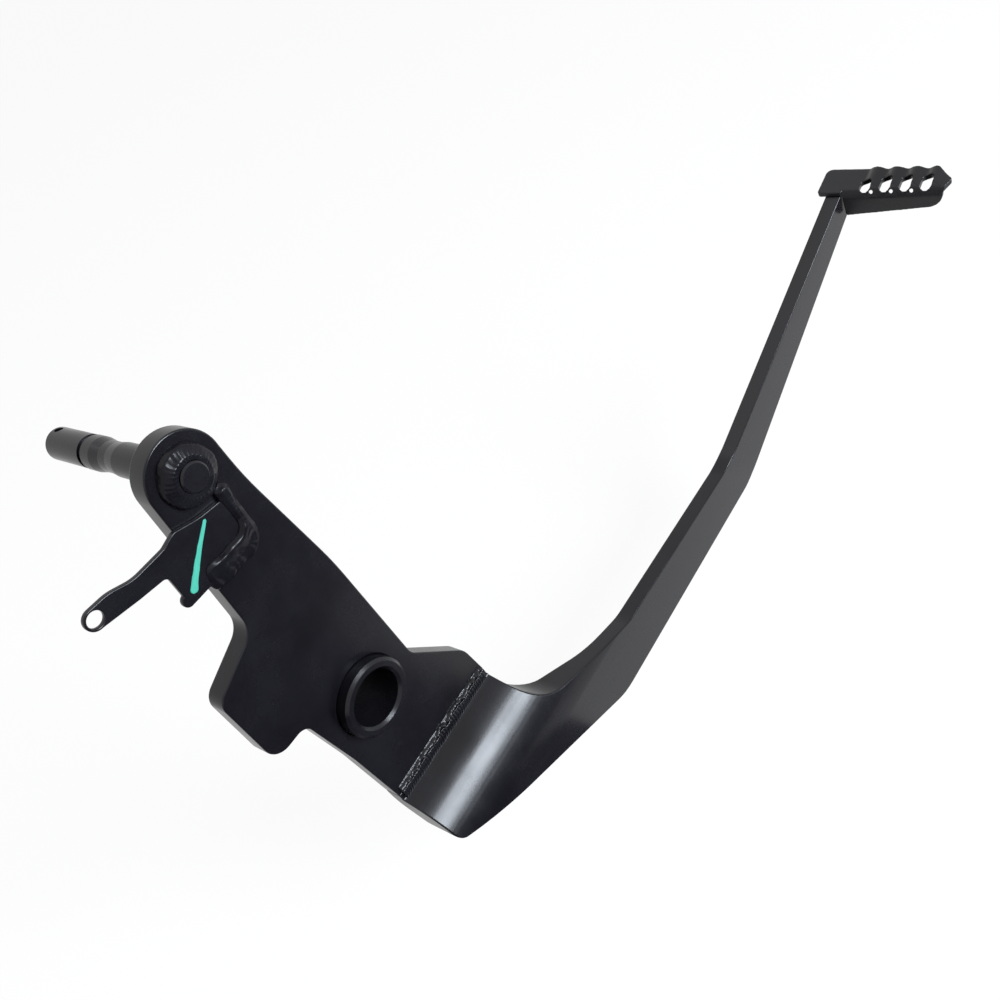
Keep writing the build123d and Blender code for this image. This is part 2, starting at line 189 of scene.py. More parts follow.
class BendSettings(bpy.types.PropertyGroup):
    """Offset bend below the seam, and the crown on its outer face."""

    plate: bpy.props.FloatProperty(
        name="Plate", description="Thickness of the plates",
        default=6.5 * MM, subtype="DISTANCE", unit="LENGTH", min=0.0)
    seam_drop: bpy.props.FloatProperty(
        name="Seam Drop", description="Distance of the seam below the pivot, square to it",
        default=39.5 * MM, subtype="DISTANCE", unit="LENGTH")
    seam_tilt: bpy.props.FloatProperty(
        name="Seam Tilt", description="Rise of the seam towards the front",
        default=math.radians(2.4), subtype="ANGLE", unit="ROTATION")
    run_up: bpy.props.FloatProperty(
        name="Run-Up", description="Distance from the seam to the first bend",
        default=5.7 * MM, subtype="DISTANCE", unit="LENGTH")
    inner: bpy.props.FloatProperty(
        name="Inner Radius", description="Radius on the hollow side of a bend",
        default=7.1 * MM, subtype="DISTANCE", unit="LENGTH", min=0.0)
    offset: bpy.props.FloatProperty(
        name="Offset", description="How far the arm stands outward of the plate",
        default=20.0 * MM, subtype="DISTANCE", unit="LENGTH")
    front: bpy.props.FloatProperty(
        name="Front of the Bend", description="Forward place up to which the bend reaches",
        default=110 * MM, subtype="DISTANCE", unit="LENGTH")
    hollow_start: bpy.props.FloatProperty(
        name="Hollow Start", description="Distance below the pivot where the hollow under the bead starts",
        default=42.2 * MM, subtype="DISTANCE", unit="LENGTH")
    hollow_r: bpy.props.FloatProperty(
        name="Hollow Radius", description="Radius of the hollow under the bead",
        default=0.6 * MM, subtype="DISTANCE", unit="LENGTH", min=0.0)
    steep: bpy.props.FloatProperty(
        name="Steepest", description="Steepest angle between the crown's face and the plate",
        default=math.radians(68), subtype="ANGLE", unit="ROTATION")


class BeadSettings(bpy.types.PropertyGroup):
    """Weld beads."""

    ripple: bpy.props.FloatProperty(
        name="Ripple Pitch", description="Distance between two ripples of a bead",
        default=1.15 * MM, subtype="DISTANCE", unit="LENGTH", min=0.0)
    height: bpy.props.FloatProperty(
        name="Ripple Height", description="Height of a ripple over the bead",
        default=0.17 * MM, subtype="DISTANCE", unit="LENGTH", min=0.0)
    bow: bpy.props.FloatProperty(
        name="Bow", description="How far a crescent trails at its ends, in ripples",
        default=0.8, min=0.0)
    lump: bpy.props.FloatProperty(
        name="Lump Height", description="Height of the slow swells along a bead",
        default=0.22 * MM, subtype="DISTANCE", unit="LENGTH", min=0.0)
    skin: bpy.props.FloatProperty(
        name="Skin Mesh", description="Mesh size of a bead's skin",
        default=0.2 * MM, subtype="DISTANCE", unit="LENGTH", min=0.0)
    root: bpy.props.FloatProperty(
        name="Bead Root", description="Depth to which a bead reaches into the metal",
        default=0.7 * MM, subtype="DISTANCE", unit="LENGTH", min=0.0)
    seam_width: bpy.props.FloatProperty(
        name="Seam Bead Width", description="Width of the bead over the seam",
        default=6.4 * MM, subtype="DISTANCE", unit="LENGTH", min=0.0)
    lip: bpy.props.FloatProperty(
        name="Lip Height", description="Height of the ragged lip along the seam bead's upper toe",
        default=0.85 * MM, subtype="DISTANCE", unit="LENGTH", min=0.0)
    crack_place: bpy.props.FloatProperty(
        name="Crack Place", description="Distance of the crack below the seam bead's upper toe",
        default=1.7 * MM, subtype="DISTANCE", unit="LENGTH", min=0.0)
    crack_width: bpy.props.FloatProperty(
        name="Crack Width", description="Half width of the crack at its mouth",
        default=0.42 * MM, subtype="DISTANCE", unit="LENGTH", min=0.0)
    crack_depth: bpy.props.FloatProperty(
        name="Crack Depth", description="Depth of the crack",
        default=1.3 * MM, subtype="DISTANCE", unit="LENGTH", min=0.0)
    fine_skin: bpy.props.FloatProperty(
        name="Fine Skin Mesh", description="Mesh size of the seam bead's skin",
        default=0.13 * MM, subtype="DISTANCE", unit="LENGTH", min=0.0)


class MarkSettings(bpy.types.PropertyGroup):
    """Dab of inspection paint on the spring bracket."""

    colour: bpy.props.FloatVectorProperty(
        name="Paint Colour", description="Colour of the paint where it lies thick",
        default=(0.036, 0.33, 0.235), size=3, subtype="COLOR", min=0.0, max=1.0)
    thin_colour: bpy.props.FloatVectorProperty(
        name="Streak Colour", description="Colour of the paint where the brush left it thin",
        default=(0.028, 0.26, 0.19), size=3, subtype="COLOR", min=0.0, max=1.0)
    roughness: bpy.props.FloatProperty(
        name="Paint Roughness", description="Roughness of the dry paint",
        default=0.42, subtype="FACTOR", min=0.0, max=1.0)
    tip: bpy.props.FloatVectorProperty(
        name="Tip", description="Forward and up of the mark's thin end",
        default=(-8.0 * MM, 84.2 * MM), size=2, unit="LENGTH")
    bend: bpy.props.FloatVectorProperty(
        name="Bend", description="Forward and up of the point that the mark bends towards",
        default=(-15.4 * MM, 78.4 * MM), size=2, unit="LENGTH")
    blob: bpy.props.FloatVectorProperty(
        name="Blob", description="Forward and up of the mark's thick end",
        default=(-21.6 * MM, 71.7 * MM), size=2, unit="LENGTH")
    thin: bpy.props.FloatProperty(
        name="Thin Width", description="Width of the mark at its tip",
        default=1.05 * MM, subtype="DISTANCE", unit="LENGTH", min=0.0)
    thick: bpy.props.FloatProperty(
        name="Thick Width", description="Width of the mark at its blob",
        default=2.3 * MM, subtype="DISTANCE", unit="LENGTH", min=0.0)
    film: bpy.props.FloatProperty(
        name="Film", description="Height of the paint over the bracket",
        default=0.12 * MM, subtype="DISTANCE", unit="LENGTH", min=0.0)


class StageSettings(bpy.types.PropertyGroup):
    """Floor, dark cards, lamps and camera."""

    eye: bpy.props.FloatVectorProperty(
        name="Camera Place", description="Where the camera stands",
        default=(-0.08177, -0.19796, 0.20728), size=3, subtype="XYZ", unit="LENGTH")
    right: bpy.props.FloatVectorProperty(
        name="Camera Right", description="Direction of the picture's right side",
        default=(0.5325, -0.7752, -0.3400), size=3, subtype="DIRECTION")
    up: bpy.props.FloatVectorProperty(
        name="Camera Up", description="Direction of the picture's top",
        default=(0.6877, 0.1620, 0.7077), size=3, subtype="DIRECTION")
    lens: bpy.props.FloatProperty(
        name="Lens", description="Focal length in millimetres on a 36 mm sensor",
        default=34.71, unit="CAMERA", min=1.0)
    floor_drop: bpy.props.FloatProperty(
        name="Floor Drop", description="Distance of the floor below the pedal",
        default=20 * MM, subtype="DISTANCE", unit="LENGTH")
    floor_colour: bpy.props.FloatVectorProperty(
        name="Floor Colour", description="Colour of the floor",
        default=(0.92, 0.92, 0.92), size=3, subtype="COLOR", min=0.0, max=1.0)
    floor_radius: bpy.props.FloatProperty(
        name="Floor Radius", description="Radius of the round floor",
        default=9.0, subtype="DISTANCE", unit="LENGTH", min=0.0)
    floor_white: bpy.props.FloatProperty(
        name="Floor White", description="Share of plain white in the floor that the camera sees",
        default=0.92, subtype="FACTOR", min=0.0, max=1.0)
    card_glow: bpy.props.FloatVectorProperty(
        name="Card Glow", description="What the coat's gloss sees of the dark cards",
        default=(0.15, 0.15, 0.18), size=3, subtype="COLOR", min=0.0, max=1.0)
    card_front: bpy.props.FloatProperty(
        name="Card Front", description="How far forward the dark card under the plate reaches",
        default=64 * MM, subtype="DISTANCE", unit="LENGTH")
    key_power: bpy.props.FloatProperty(
        name="Key Power", description="Power of the soft lamp above the outer side",
        default=26.0, unit="POWER", min=0.0)
    key_way: bpy.props.FloatVectorProperty(
        name="Key Direction", description="Direction of the outer lamp from the pedal's middle",
        default=(0.167, -0.873, 0.458), size=3, subtype="DIRECTION")
    key_distance: bpy.props.FloatProperty(
        name="Key Distance", description="Distance of the outer lamp from the pedal's middle",
        default=1.15, subtype="DISTANCE", unit="LENGTH", min=0.0)
    key_size: bpy.props.FloatProperty(
        name="Key Size", description="Side of the outer lamp",
        default=0.5, subtype="DISTANCE", unit="LENGTH", min=0.0)
    key_tint: bpy.props.FloatVectorProperty(
        name="Key Tint", description="Colour of the outer lamp's light",
        default=(0.84, 0.91, 1.0), size=3, subtype="COLOR", min=0.0, max=1.0)
    top_power: bpy.props.FloatProperty(
        name="Top Power", description="Power of the soft lamp overhead",
        default=2.0, unit="POWER", min=0.0)
    top_way: bpy.props.FloatVectorProperty(
        name="Top Direction", description="Direction of the overhead lamp from the pedal's middle",
        default=(-0.25, 0.3, 0.92), size=3, subtype="DIRECTION")
    top_distance: bpy.props.FloatProperty(
        name="Top Distance", description="Distance of the overhead lamp from the pedal's middle",
        default=1.2, subtype="DISTANCE", unit="LENGTH", min=0.0)
    top_size: bpy.props.FloatProperty(
        name="Top Size", description="Side of the overhead lamp",
        default=0.9, subtype="DISTANCE", unit="LENGTH", min=0.0)
    sky: bpy.props.FloatProperty(
        name="Sky", description="Level of the light from all round", default=0.4, min=0.0)


def place_node(tree, kind, label="", **values):
    """Node of a kind in a tree, with its plain settings and input values set."""
    node = tree.nodes.new("ShaderNode" + kind)
    node.label = label
    for name, value in values.items():
        if hasattr(node, name):
            setattr(node, name, value)
        else:
            node.inputs[name.replace("_", " ").title()].default_value = value
    return node


def add_socket(group, name, kind, way, default=None):
    """Named socket on a node group."""
    socket = group.interface.new_socket(name=name, in_out=way, socket_type="NodeSocket" + kind)
    if default is not None:
        socket.default_value = default


def place_group(tree, group, **values):
    """Group in a tree, with its input values set."""
    node = tree.nodes.new("ShaderNodeGroup")
    node.node_tree = group
    for name, value in values.items():
        node.inputs[name].default_value = value
    return node


def new_material(name):
    """Material with its node tree and shader."""
    material = bpy.data.materials.new(name)
    material.use_nodes = True
    return material, material.node_tree, material.node_tree.nodes["Principled BSDF"]


def mixed_colour(tree, factor, low, high, label):
    """Colour between two sockets or colours by a factor."""
    mix = place_node(tree, "Mix", label, data_type="RGBA")
    inputs = [socket for socket in mix.inputs if socket.type == "RGBA"]
    tree.links.new(factor, mix.inputs["Factor"])
    for socket, value in zip(inputs, (low, high)):
        if isinstance(value, bpy.types.NodeSocket):
            tree.links.new(value, socket)
        else:
            socket.default_value = (*value, 1)
    return [socket for socket in mix.outputs if socket.type == "RGBA"][0]


def coat_skin_group():
    """Orange peel, clouds and gloss patches of a powder coat."""
    coat = bpy.context.scene.pedal_coat
    group = bpy.data.node_groups.new("Coat Skin", "ShaderNodeTree")
    add_socket(group, "Vector", "Vector", "INPUT")
    add_socket(group, "Peel Scale", "Float", "INPUT", 1 / coat.peel)
    add_socket(group, "Cloud Scale", "Float", "INPUT", 1 / coat.cloud)
    add_socket(group, "Deep", "Color", "INPUT", (*coat.deep, 1))
    add_socket(group, "Bloom", "Color", "INPUT", (*coat.bloom, 1))
    add_socket(group, "Smoothest", "Float", "INPUT", coat.gloss_low)
    add_socket(group, "Roughest", "Float", "INPUT", coat.gloss_high)
    add_socket(group, "Color", "Color", "OUTPUT")
    add_socket(group, "Roughness", "Float", "OUTPUT")
    add_socket(group, "Height", "Float", "OUTPUT")
    start = group.nodes.new("NodeGroupInput")
    end = group.nodes.new("NodeGroupOutput")
    link = group.links.new

    peel = place_node(group, "TexNoise", "Peel", Detail=2.0, Roughness=0.45)
    link(start.outputs["Vector"], peel.inputs["Vector"])
    link(start.outputs["Peel Scale"], peel.inputs["Scale"])
    link(peel.outputs["Fac"], end.inputs["Height"])

    clouds = place_node(group, "TexNoise", "Clouds", Detail=5.0, Roughness=0.6)
    link(start.outputs["Vector"], clouds.inputs["Vector"])
    link(start.outputs["Cloud Scale"], clouds.inputs["Scale"])
    spread = place_node(group, "MapRange", "Cloud Range", From_Min=0.35, From_Max=0.65)
    link(clouds.outputs["Fac"], spread.inputs["Value"])

    # Fine pale specks, as dust baked into the coat
    specks = place_node(group, "TexVoronoi", "Specks")
    link(start.outputs["Vector"], specks.inputs["Vector"])
    link(start.outputs["Peel Scale"], specks.inputs["Scale"])
    dust = place_node(group, "MapRange", "Speck Size", From_Min=0.11, From_Max=0.05)
    link(specks.outputs["Distance"], dust.inputs["Value"])
    rare = place_node(group, "Math", "Rare Specks", operation="MULTIPLY")
    link(dust.outputs["Result"], rare.inputs[0])
    link(spread.outputs["Result"], rare.inputs[1])

    deep = start.outputs["Deep"]
    bloom = start.outputs["Bloom"]
    tint = mixed_colour(group, spread.outputs["Result"], deep, bloom, "Clouds")
    pale = mixed_colour(group, rare.outputs["Value"], tint, DUST_COLOUR, "Dust")
    link(pale, end.inputs["Color"])

    gloss = place_node(group, "MapRange", "Gloss Patches")
    link(spread.outputs["Result"], gloss.inputs["Value"])
    link(start.outputs["Smoothest"], gloss.inputs["To Min"])
    link(start.outputs["Roughest"], gloss.inputs["To Max"])
    link(gloss.outputs["Result"], end.inputs["Roughness"])
    return group


def coat_grain_group():
    """Grain under a coat, even or drawn out along an axis."""
    group = bpy.data.node_groups.new("Coat Grain", "ShaderNodeTree")
    add_socket(group, "Vector", "Vector", "INPUT")
    add_socket(group, "Stretch", "Vector", "INPUT", (1, 1, 1))
    add_socket(group, "Scale", "Float", "INPUT", WELD_GRAIN_SCALE)
    add_socket(group, "Height", "Float", "OUTPUT")
    start = group.nodes.new("NodeGroupInput")
    end = group.nodes.new("NodeGroupOutput")
    link = group.links.new

    drawn = place_node(group, "Mapping", "Stretch")
    grain = place_node(group, "TexNoise", "Grain", Detail=3.0, Roughness=0.6)
    link(start.outputs["Vector"], drawn.inputs["Vector"])
    link(start.outputs["Stretch"], drawn.inputs["Scale"])
    link(drawn.outputs["Vector"], grain.inputs["Vector"])
    link(start.outputs["Scale"], grain.inputs["Scale"])
    link(grain.outputs["Fac"], end.inputs["Height"])
    return group


def coat_material(name, shine=1.0, **skin_values):
    """Satin black powder coat, with its own skin values and room for a second bump."""
    material, tree, shader = new_material(name)
    shader.inputs["Specular IOR Level"].default_value = shine * bpy.context.scene.pedal_coat.shine
    place = place_node(tree, "TexCoord")
    group = bpy.data.node_groups.get("Coat Skin") or coat_skin_group()
    skin = place_group(tree, group, **skin_values)
    lift = place_node(tree, "Bump", "Peel", Strength=0.4, Distance=PEEL_DEPTH)
    link = tree.links.new
    link(place.outputs["Object"], skin.inputs["Vector"])
    link(skin.outputs["Color"], shader.inputs["Base Color"])
    link(skin.outputs["Roughness"], shader.inputs["Roughness"])
    link(skin.outputs["Height"], lift.inputs["Height"])
    link(lift.outputs["Normal"], shader.inputs["Normal"])
    return material


def add_grain(material, label, scale, depth, stretch=(1, 1, 1)):
    """Second bump under the peel: grain on welds, or rings on turned parts."""
    tree = material.node_tree
    place = place_node(tree, "TexCoord")
    group = bpy.data.node_groups.get("Coat Grain") or coat_grain_group()
    grain = place_group(tree, group, Stretch=stretch, Scale=scale)
    rise = place_node(tree, "Bump", label, Strength=0.6, Distance=depth)
    peel = [node for node in tree.nodes if node.type == "BUMP" and node.label == "Peel"][0]
    tree.links.new(place.outputs["Object"], grain.inputs["Vector"])
    tree.links.new(grain.outputs["Height"], rise.inputs["Height"])
    tree.links.new(rise.outputs["Normal"], peel.inputs["Normal"])
    return material


def weld_coat(name, shine):
    """Coat over weld metal, made once for each shine."""
    made = bpy.data.materials.get(name)
    if made:
        return made
    coat = bpy.context.scene.pedal_coat
    material = coat_material(
        name, shine, Smoothest=coat.weld_low, Roughest=coat.weld_high, Bloom=(*coat.weld_bloom, 1))
    return add_grain(material, "Weld Grain", WELD_GRAIN_SCALE, WELD_GRAIN_DEPTH)


def paint_material(name):
    """Brushed inspection paint, with streaks along the stroke."""
    mark = bpy.context.scene.pedal_mark
    material, tree, shader = new_material(name)
    shader.inputs["Roughness"].default_value = mark.roughness
    stroke = place_node(tree, "TexCoord")
    pull = place_node(tree, "Mapping", "Along the Stroke")
    pull.inputs["Scale"].default_value = STREAK_STRETCH
    hair = place_node(tree, "TexNoise", "Brush Hairs", Scale=STREAK_SCALE, Detail=4.0, Roughness=0.6)
    spread = place_node(tree, "MapRange", "Streaks", From_Min=0.38, From_Max=0.62)
    rise = place_node(tree, "Bump", "Streaks", Strength=0.5, Distance=STREAK_DEPTH)
    link = tree.links.new
    link(stroke.outputs["UV"], pull.inputs["Vector"])
    link(pull.outputs["Vector"], hair.inputs["Vector"])
    link(hair.outputs["Fac"], spread.inputs["Value"])
    thin, thick = tuple(mark.thin_colour), tuple(mark.colour)
    paint = mixed_colour(tree, spread.outputs["Result"], thin, thick, "Paint")
    link(paint, shader.inputs["Base Color"])
    link(hair.outputs["Fac"], rise.inputs["Height"])
    link(rise.outputs["Normal"], shader.inputs["Normal"])
    return material


def finish_piece(piece, material, slot, *nodes):
    """Gives a piece its material and its body, and hides the nodes that it stands for."""
    piece.data.materials.clear()
    piece.data.materials.append(material)
    if nodes:
        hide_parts(*nodes)
    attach(piece, BODY)
    return piece


def piece_from(shape, name):
    """Mesh object at the origin from a bmesh, shaded smooth."""
    mesh = bpy.data.meshes.new(name)
    for face in shape.faces:
        face.smooth = True
    shape.to_mesh(mesh)
    shape.free()
    piece = bpy.data.objects.new(name, mesh)
    bpy.context.scene.collection.objects.link(piece)
    return piece


def apply_modifiers(piece):
    """Makes the modified mesh the piece's own."""
    depsgraph = bpy.context.evaluated_depsgraph_get()
    mesh = bpy.data.meshes.new_from_object(piece.evaluated_get(depsgraph))
    piece.modifiers.clear()
    piece.data = mesh
    mesh.name = piece.name


def copied_shape(node):
    """A node's shape, merged into one closed skin."""
    shape = bmesh.new()
    shape.from_mesh(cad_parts[node].data)
    bmesh.ops.remove_doubles(shape, verts=shape.verts, dist=SAME_POINT)
    return shape


def join_flats(shape):
    """Joins the triangles of each flat face."""
    bmesh.ops.dissolve_limit(
        shape, angle_limit=FLAT_ANGLE, use_dissolve_boundaries=False,
        verts=shape.verts, edges=shape.edges)


def rounded_piece(shape, name, width):
    """Piece with its sharp edges rounded and its flat faces kept flat."""
    sharp = [
        edge for edge in shape.edges
        if len(edge.link_faces) == 2 and edge.calc_face_angle() > SHARP_ANGLE
    ]
    bmesh.ops.bevel(
        shape, geom=sharp, offset=width, offset_type="OFFSET", segments=EDGE_STEPS, profile=0.5,
        affect="EDGES", material=-1, clamp_overlap=False)
    piece = piece_from(shape, name)
    weigh = piece.modifiers.new("Flat Faces", "WEIGHTED_NORMAL")
    weigh.keep_sharp = True
    weigh.weight = FACE_WEIGHT
    apply_modifiers(piece)
    return piece


def even_skin(shape, name, size, passes):
    """Piece with an even, softened skin."""
    piece = piece_from(shape, name)
    skin = piece.modifiers.new("Even Skin", "REMESH")
    skin.mode = "VOXEL"
    skin.voxel_size = size
    skin.use_smooth_shade = True
    soft = piece.modifiers.new("Soft Edges", "SMOOTH")
    soft.factor = 0.5
    soft.iterations = passes
    apply_modifiers(piece)
    return piece


def seam_down():
    """Direction down the arm, square to the seam."""
    tilt = bpy.context.scene.pedal_bend.seam_tilt
    return Vector((math.sin(tilt), 0, -math.cos(tilt)))


def crown_slope(shape):
    """Gives the outer side of the offset bend a tight hollow and one long crown below it."""
    bend = bpy.context.scene.pedal_bend
    down = seam_down()
    middle = bend.inner + bend.plate / 2
    lap = middle * math.tan(PACKED_SLOPE / 2) * math.cos(PACKED_SLOPE)
    skew = bend.plate / 2 * math.cos(PACKED_SLOPE)
    slope_start = bend.seam_drop + bend.run_up + lap - skew
    slope_out = bend.inner * (1 - math.cos(PACKED_SLOPE))
    slope_end = bend.seam_drop + bend.run_up + bend.offset - lap - skew
    outer = bend.inner + bend.plate
    first = slope_start - bend.inner * math.sin(PACKED_SLOPE)
    last = slope_end + outer * math.sin(PACKED_SLOPE)

    def packed_out(drop):
        """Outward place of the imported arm's outer side."""
        if drop < first:
            return 0.0
        if drop < slope_start:
            return bend.inner - math.sqrt(bend.inner ** 2 - (drop - first) ** 2)
        if drop < slope_end:
            return slope_out + drop - slope_start
        if drop < last:
            return bend.offset - outer + math.sqrt(outer ** 2 - (last - drop) ** 2)
        return bend.offset

    rise = 1 - math.cos(bend.steep)
    hollow_end = bend.hollow_start + bend.hollow_r * math.sin(bend.steep)
    crown_r = (bend.offset - bend.hollow_r * rise) / rise
    crown_end = hollow_end + crown_r * math.sin(bend.steep)

    def crowned_out(drop):
        """Outward place of the crowned outer side."""
        if drop < bend.hollow_start:
            return 0.0
        if drop < hollow_end:
            return bend.hollow_r - math.sqrt(bend.hollow_r ** 2 - (drop - bend.hollow_start) ** 2)
        if drop < crown_end:
            return bend.offset - crown_r + math.sqrt(crown_r ** 2 - (crown_end - drop) ** 2)
        return bend.offset

    # The rows end at a cut across the arm, so that its rising part isn't touched
    pitch = (crown_end - first) / CROWN_ROWS
    bmesh.ops.bisect_plane(
        shape, geom=shape.verts[:] + shape.edges[:] + shape.faces[:], dist=FRONT_NEAR,
        plane_co=(bend.front, 0, 0), plane_no=(1, 0, 0))
    for row in range(CROWN_ROWS + 1):
        near = [vert for vert in shape.verts if vert.co.x < bend.front + ROW_NEAR]
        known = set(near)
        near += [edge for edge in shape.edges if known.issuperset(edge.verts)]
        near += [face for face in shape.faces if known.issuperset(face.verts)]
        bmesh.ops.bisect_plane(
            shape, geom=near, dist=ROW_NEAR, plane_co=down * (first + pitch * row), plane_no=down)
    for vert in shape.verts:
        drop = vert.co.dot(down)
        if vert.co.x > bend.front + ROW_NEAR:
            continue
        if first < drop < crown_end and abs(-vert.co.y - packed_out(drop)) < FACE_NEAR:
            row = min(CROWN_ROWS - 1, int((drop - first) / pitch))
            share = (drop - first) / pitch - row
            above = crowned_out(first + pitch * row)
            below = crowned_out(first + pitch * (row + 1))
            vert.co.y = -(above + (below - above) * share)
    join_flats(shape)


class PEDAL_OT_plates(bpy.types.Operator):
    """Round and coat the plate, the bent arm and the spring bracket"""

    bl_idname = "pedal.plates"
    bl_label = "Plates and Arm"
    bl_options = {"REGISTER", "UNDO"}

    def execute(self, context):
        coat = context.scene.pedal_coat
        black = coat_material("black_coat")
        for node, width in (
            ("rear_plate", coat.edge),
            ("front_arm", coat.edge),
            ("spring_bracket", coat.sheet_edge),
        ):
            shape = copied_shape(node)
            join_flats(shape)
            if node == "front_arm":
                crown_slope(shape)
            finish_piece(rounded_piece(shape, node + "_coated", width), black, "black_coat", node)
        return {"FINISHED"}


class PEDAL_OT_tread(bpy.types.Operator):
    """Soften and coat the pressed tread"""

    bl_idname = "pedal.tread"
    bl_label = "Tread"
    bl_options = {"REGISTER", "UNDO"}

    def execute(self, context):
        coat = context.scene.pedal_coat
        black = coat_material("tread_coat", Smoothest=coat.tread_low, Roughest=coat.tread_high)
        piece = even_skin(copied_shape("foot_pad"), "foot_pad_coated", coat.skin, passes=5)
        finish_piece(piece, black, "black_coat", "foot_pad")
        return {"FINISHED"}


class PEDAL_OT_turned_parts(bpy.types.Operator):
    """Coat the turned bush and pin"""

    bl_idname = "pedal.turned_parts"
    bl_label = "Turned Parts"
    bl_options = {"REGISTER", "UNDO"}

    def execute(self, context):
        turned = add_grain(
            coat_material("turned_coat"), "Turning Rings", RING_SCALE, RING_DEPTH, RING_STRETCH)
        for node in ("pivot_bush", "rod_pin"):
            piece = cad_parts[node]
            piece.data.materials.clear()
            piece.data.materials.append(turned)
        return {"FINISHED"}


def straight_run(way, side, middle, half, pitch):
    """Place on a straight bead: ripples along it and half widths across it."""
    def run(place):
        return place.dot(way) / pitch, (place.dot(side) - middle) / half
    return run


def ring_run(centre_x, centre_z, inner, outer, pitch):
    """Place on a bead that runs round an axis."""
    middle = (inner + outer) / 2
    count = round(math.tau * middle / pitch)

    def run(place):
        across = Vector((place.x - centre_x, place.z - centre_z))
        turn = math.atan2(across.y, across.x) / math.tau
        return turn * count, (across.length - middle) / (outer - inner) * 2
    return run


def corner_run(corner_x, corner_z, reach, pitch):
    """Place on a bead that runs down past a corner and then rearwards under it."""
    def run(place):
        ahead = place.x - corner_x
        below = corner_z - place.z
        if below < 0:
            along, out = -below, ahead
        elif ahead < 0:
            along, out = ahead - reach * math.pi / 2, below
        else:
            along, out = -math.atan2(below, ahead) * reach, math.hypot(ahead, below)
        return along / pitch, out / reach - 1
    return run


def ripple_skin(piece, run, strength=1.0, lumps=1.0):
    """Raises crescents and slow lumps along a bead."""
    bead = bpy.context.scene.pedal_bead
    shape = bmesh.new()
    shape.from_mesh(piece.data)
    shape.normal_update()
    moves = []
    for vert in shape.verts:
        step, across = run(vert.co)
        wander = WANDER * noise.noise(vert.co / WANDER_LENGTH)
        wave = 0.5 + 0.5 * math.cos(math.tau * (step + bead.bow * across * across + wander))
        crown = math.sqrt(max(0.0, 1.0 - min(1.0, across * across)))
        uneven = UNEVEN_MEAN + UNEVEN * noise.noise(vert.co / UNEVEN_LENGTH + Vector((7, 3, 5)))
        swell = lumps * bead.lump * noise.noise(vert.co / LUMP_LENGTH + Vector((1, 9, 4)))
        rise = strength * bead.height * (wave - RIPPLE_SUNK) * crown * uneven
        moves.append(vert.normal * (rise + swell))
    for vert, move in zip(shape.verts, moves):
        vert.co += move
    shape.to_mesh(piece.data)
    shape.free()


def rooted_shape(node, into, depth):
    """A bead's shape with its underside sunk into the metal."""
    shape = copied_shape(node)
    shape.normal_update()
    under = [face for face in shape.faces if face.normal.dot(into) > 0.5]
    grown = bmesh.ops.extrude_face_region(shape, geom=under)
    deeper = [item for item in grown["geom"] if isinstance(item, bmesh.types.BMVert)]
    bmesh.ops.translate(shape, verts=deeper, vec=into * depth)
    bmesh.ops.delete(shape, geom=under, context="FACES_ONLY")
    bmesh.ops.recalc_face_normals(shape, faces=shape.faces)
    return shape


def tear_toe(piece, side, toe, out):
    """Rolls a ragged lip up along the seam bead's upper toe and tears a crack below it."""
    bead = bpy.context.scene.pedal_bead
    shape = bmesh.new()
    shape.from_mesh(piece.data)
    for vert in shape.verts:
        if vert.co.dot(out) < 0:
            continue
        ragged = WAVER * noise.noise(Vector((vert.co.x / WAVER_LENGTH, 0, 2.5)))
        ragged += FRAY * noise.noise(Vector((vert.co.x / FRAY_LENGTH, 4, 0)))
        lumpy = LIP_LUMP_MEAN + LIP_LUMP * noise.noise(Vector((vert.co.x / LIP_LUMP_LENGTH, 1, 7)))
        below = vert.co.dot(side) - toe - bead.crack_place - ragged
        lip = max(0.0, 1 - ((below + LIP_ABOVE_CRACK) / LIP_HALF_WIDTH) ** 2)
        torn = max(0.0, 1 - abs(below) / bead.crack_width)
        vert.co += out * (bead.lip * lumpy * lip - bead.crack_depth * torn ** CRACK_POWER)
    shape.to_mesh(piece.data)
    shape.free()


class PEDAL_OT_seam_beads(bpy.types.Operator):
    """Weld the seam on both faces"""

    bl_idname = "pedal.seam_beads"
    bl_label = "Seam Beads"
    bl_options = {"REGISTER", "UNDO"}

    def execute(self, context):
        bead = context.scene.pedal_bead
        bend = context.scene.pedal_bend
        weld = weld_coat("seam_coat", shine=1.1)
        down = seam_down()
        along = OUT.cross(down)
        half = bead.seam_width / 2
        run = straight_run(along, down, bend.seam_drop, half, bead.ripple)
        for node, out in (("seam_weld", OUT), ("seam_back_weld", IN)):
            shape = rooted_shape(node, -out, bead.root)
            piece = even_skin(shape, node + "_bead", bead.fine_skin, passes=8)
            ripple_skin(piece, run, strength=0.8, lumps=0.5)
            if out is OUT:
                tear_toe(piece, down, bend.seam_drop - half, out)
            finish_piece(piece, weld, "weld_coat", node)
        return {"FINISHED"}


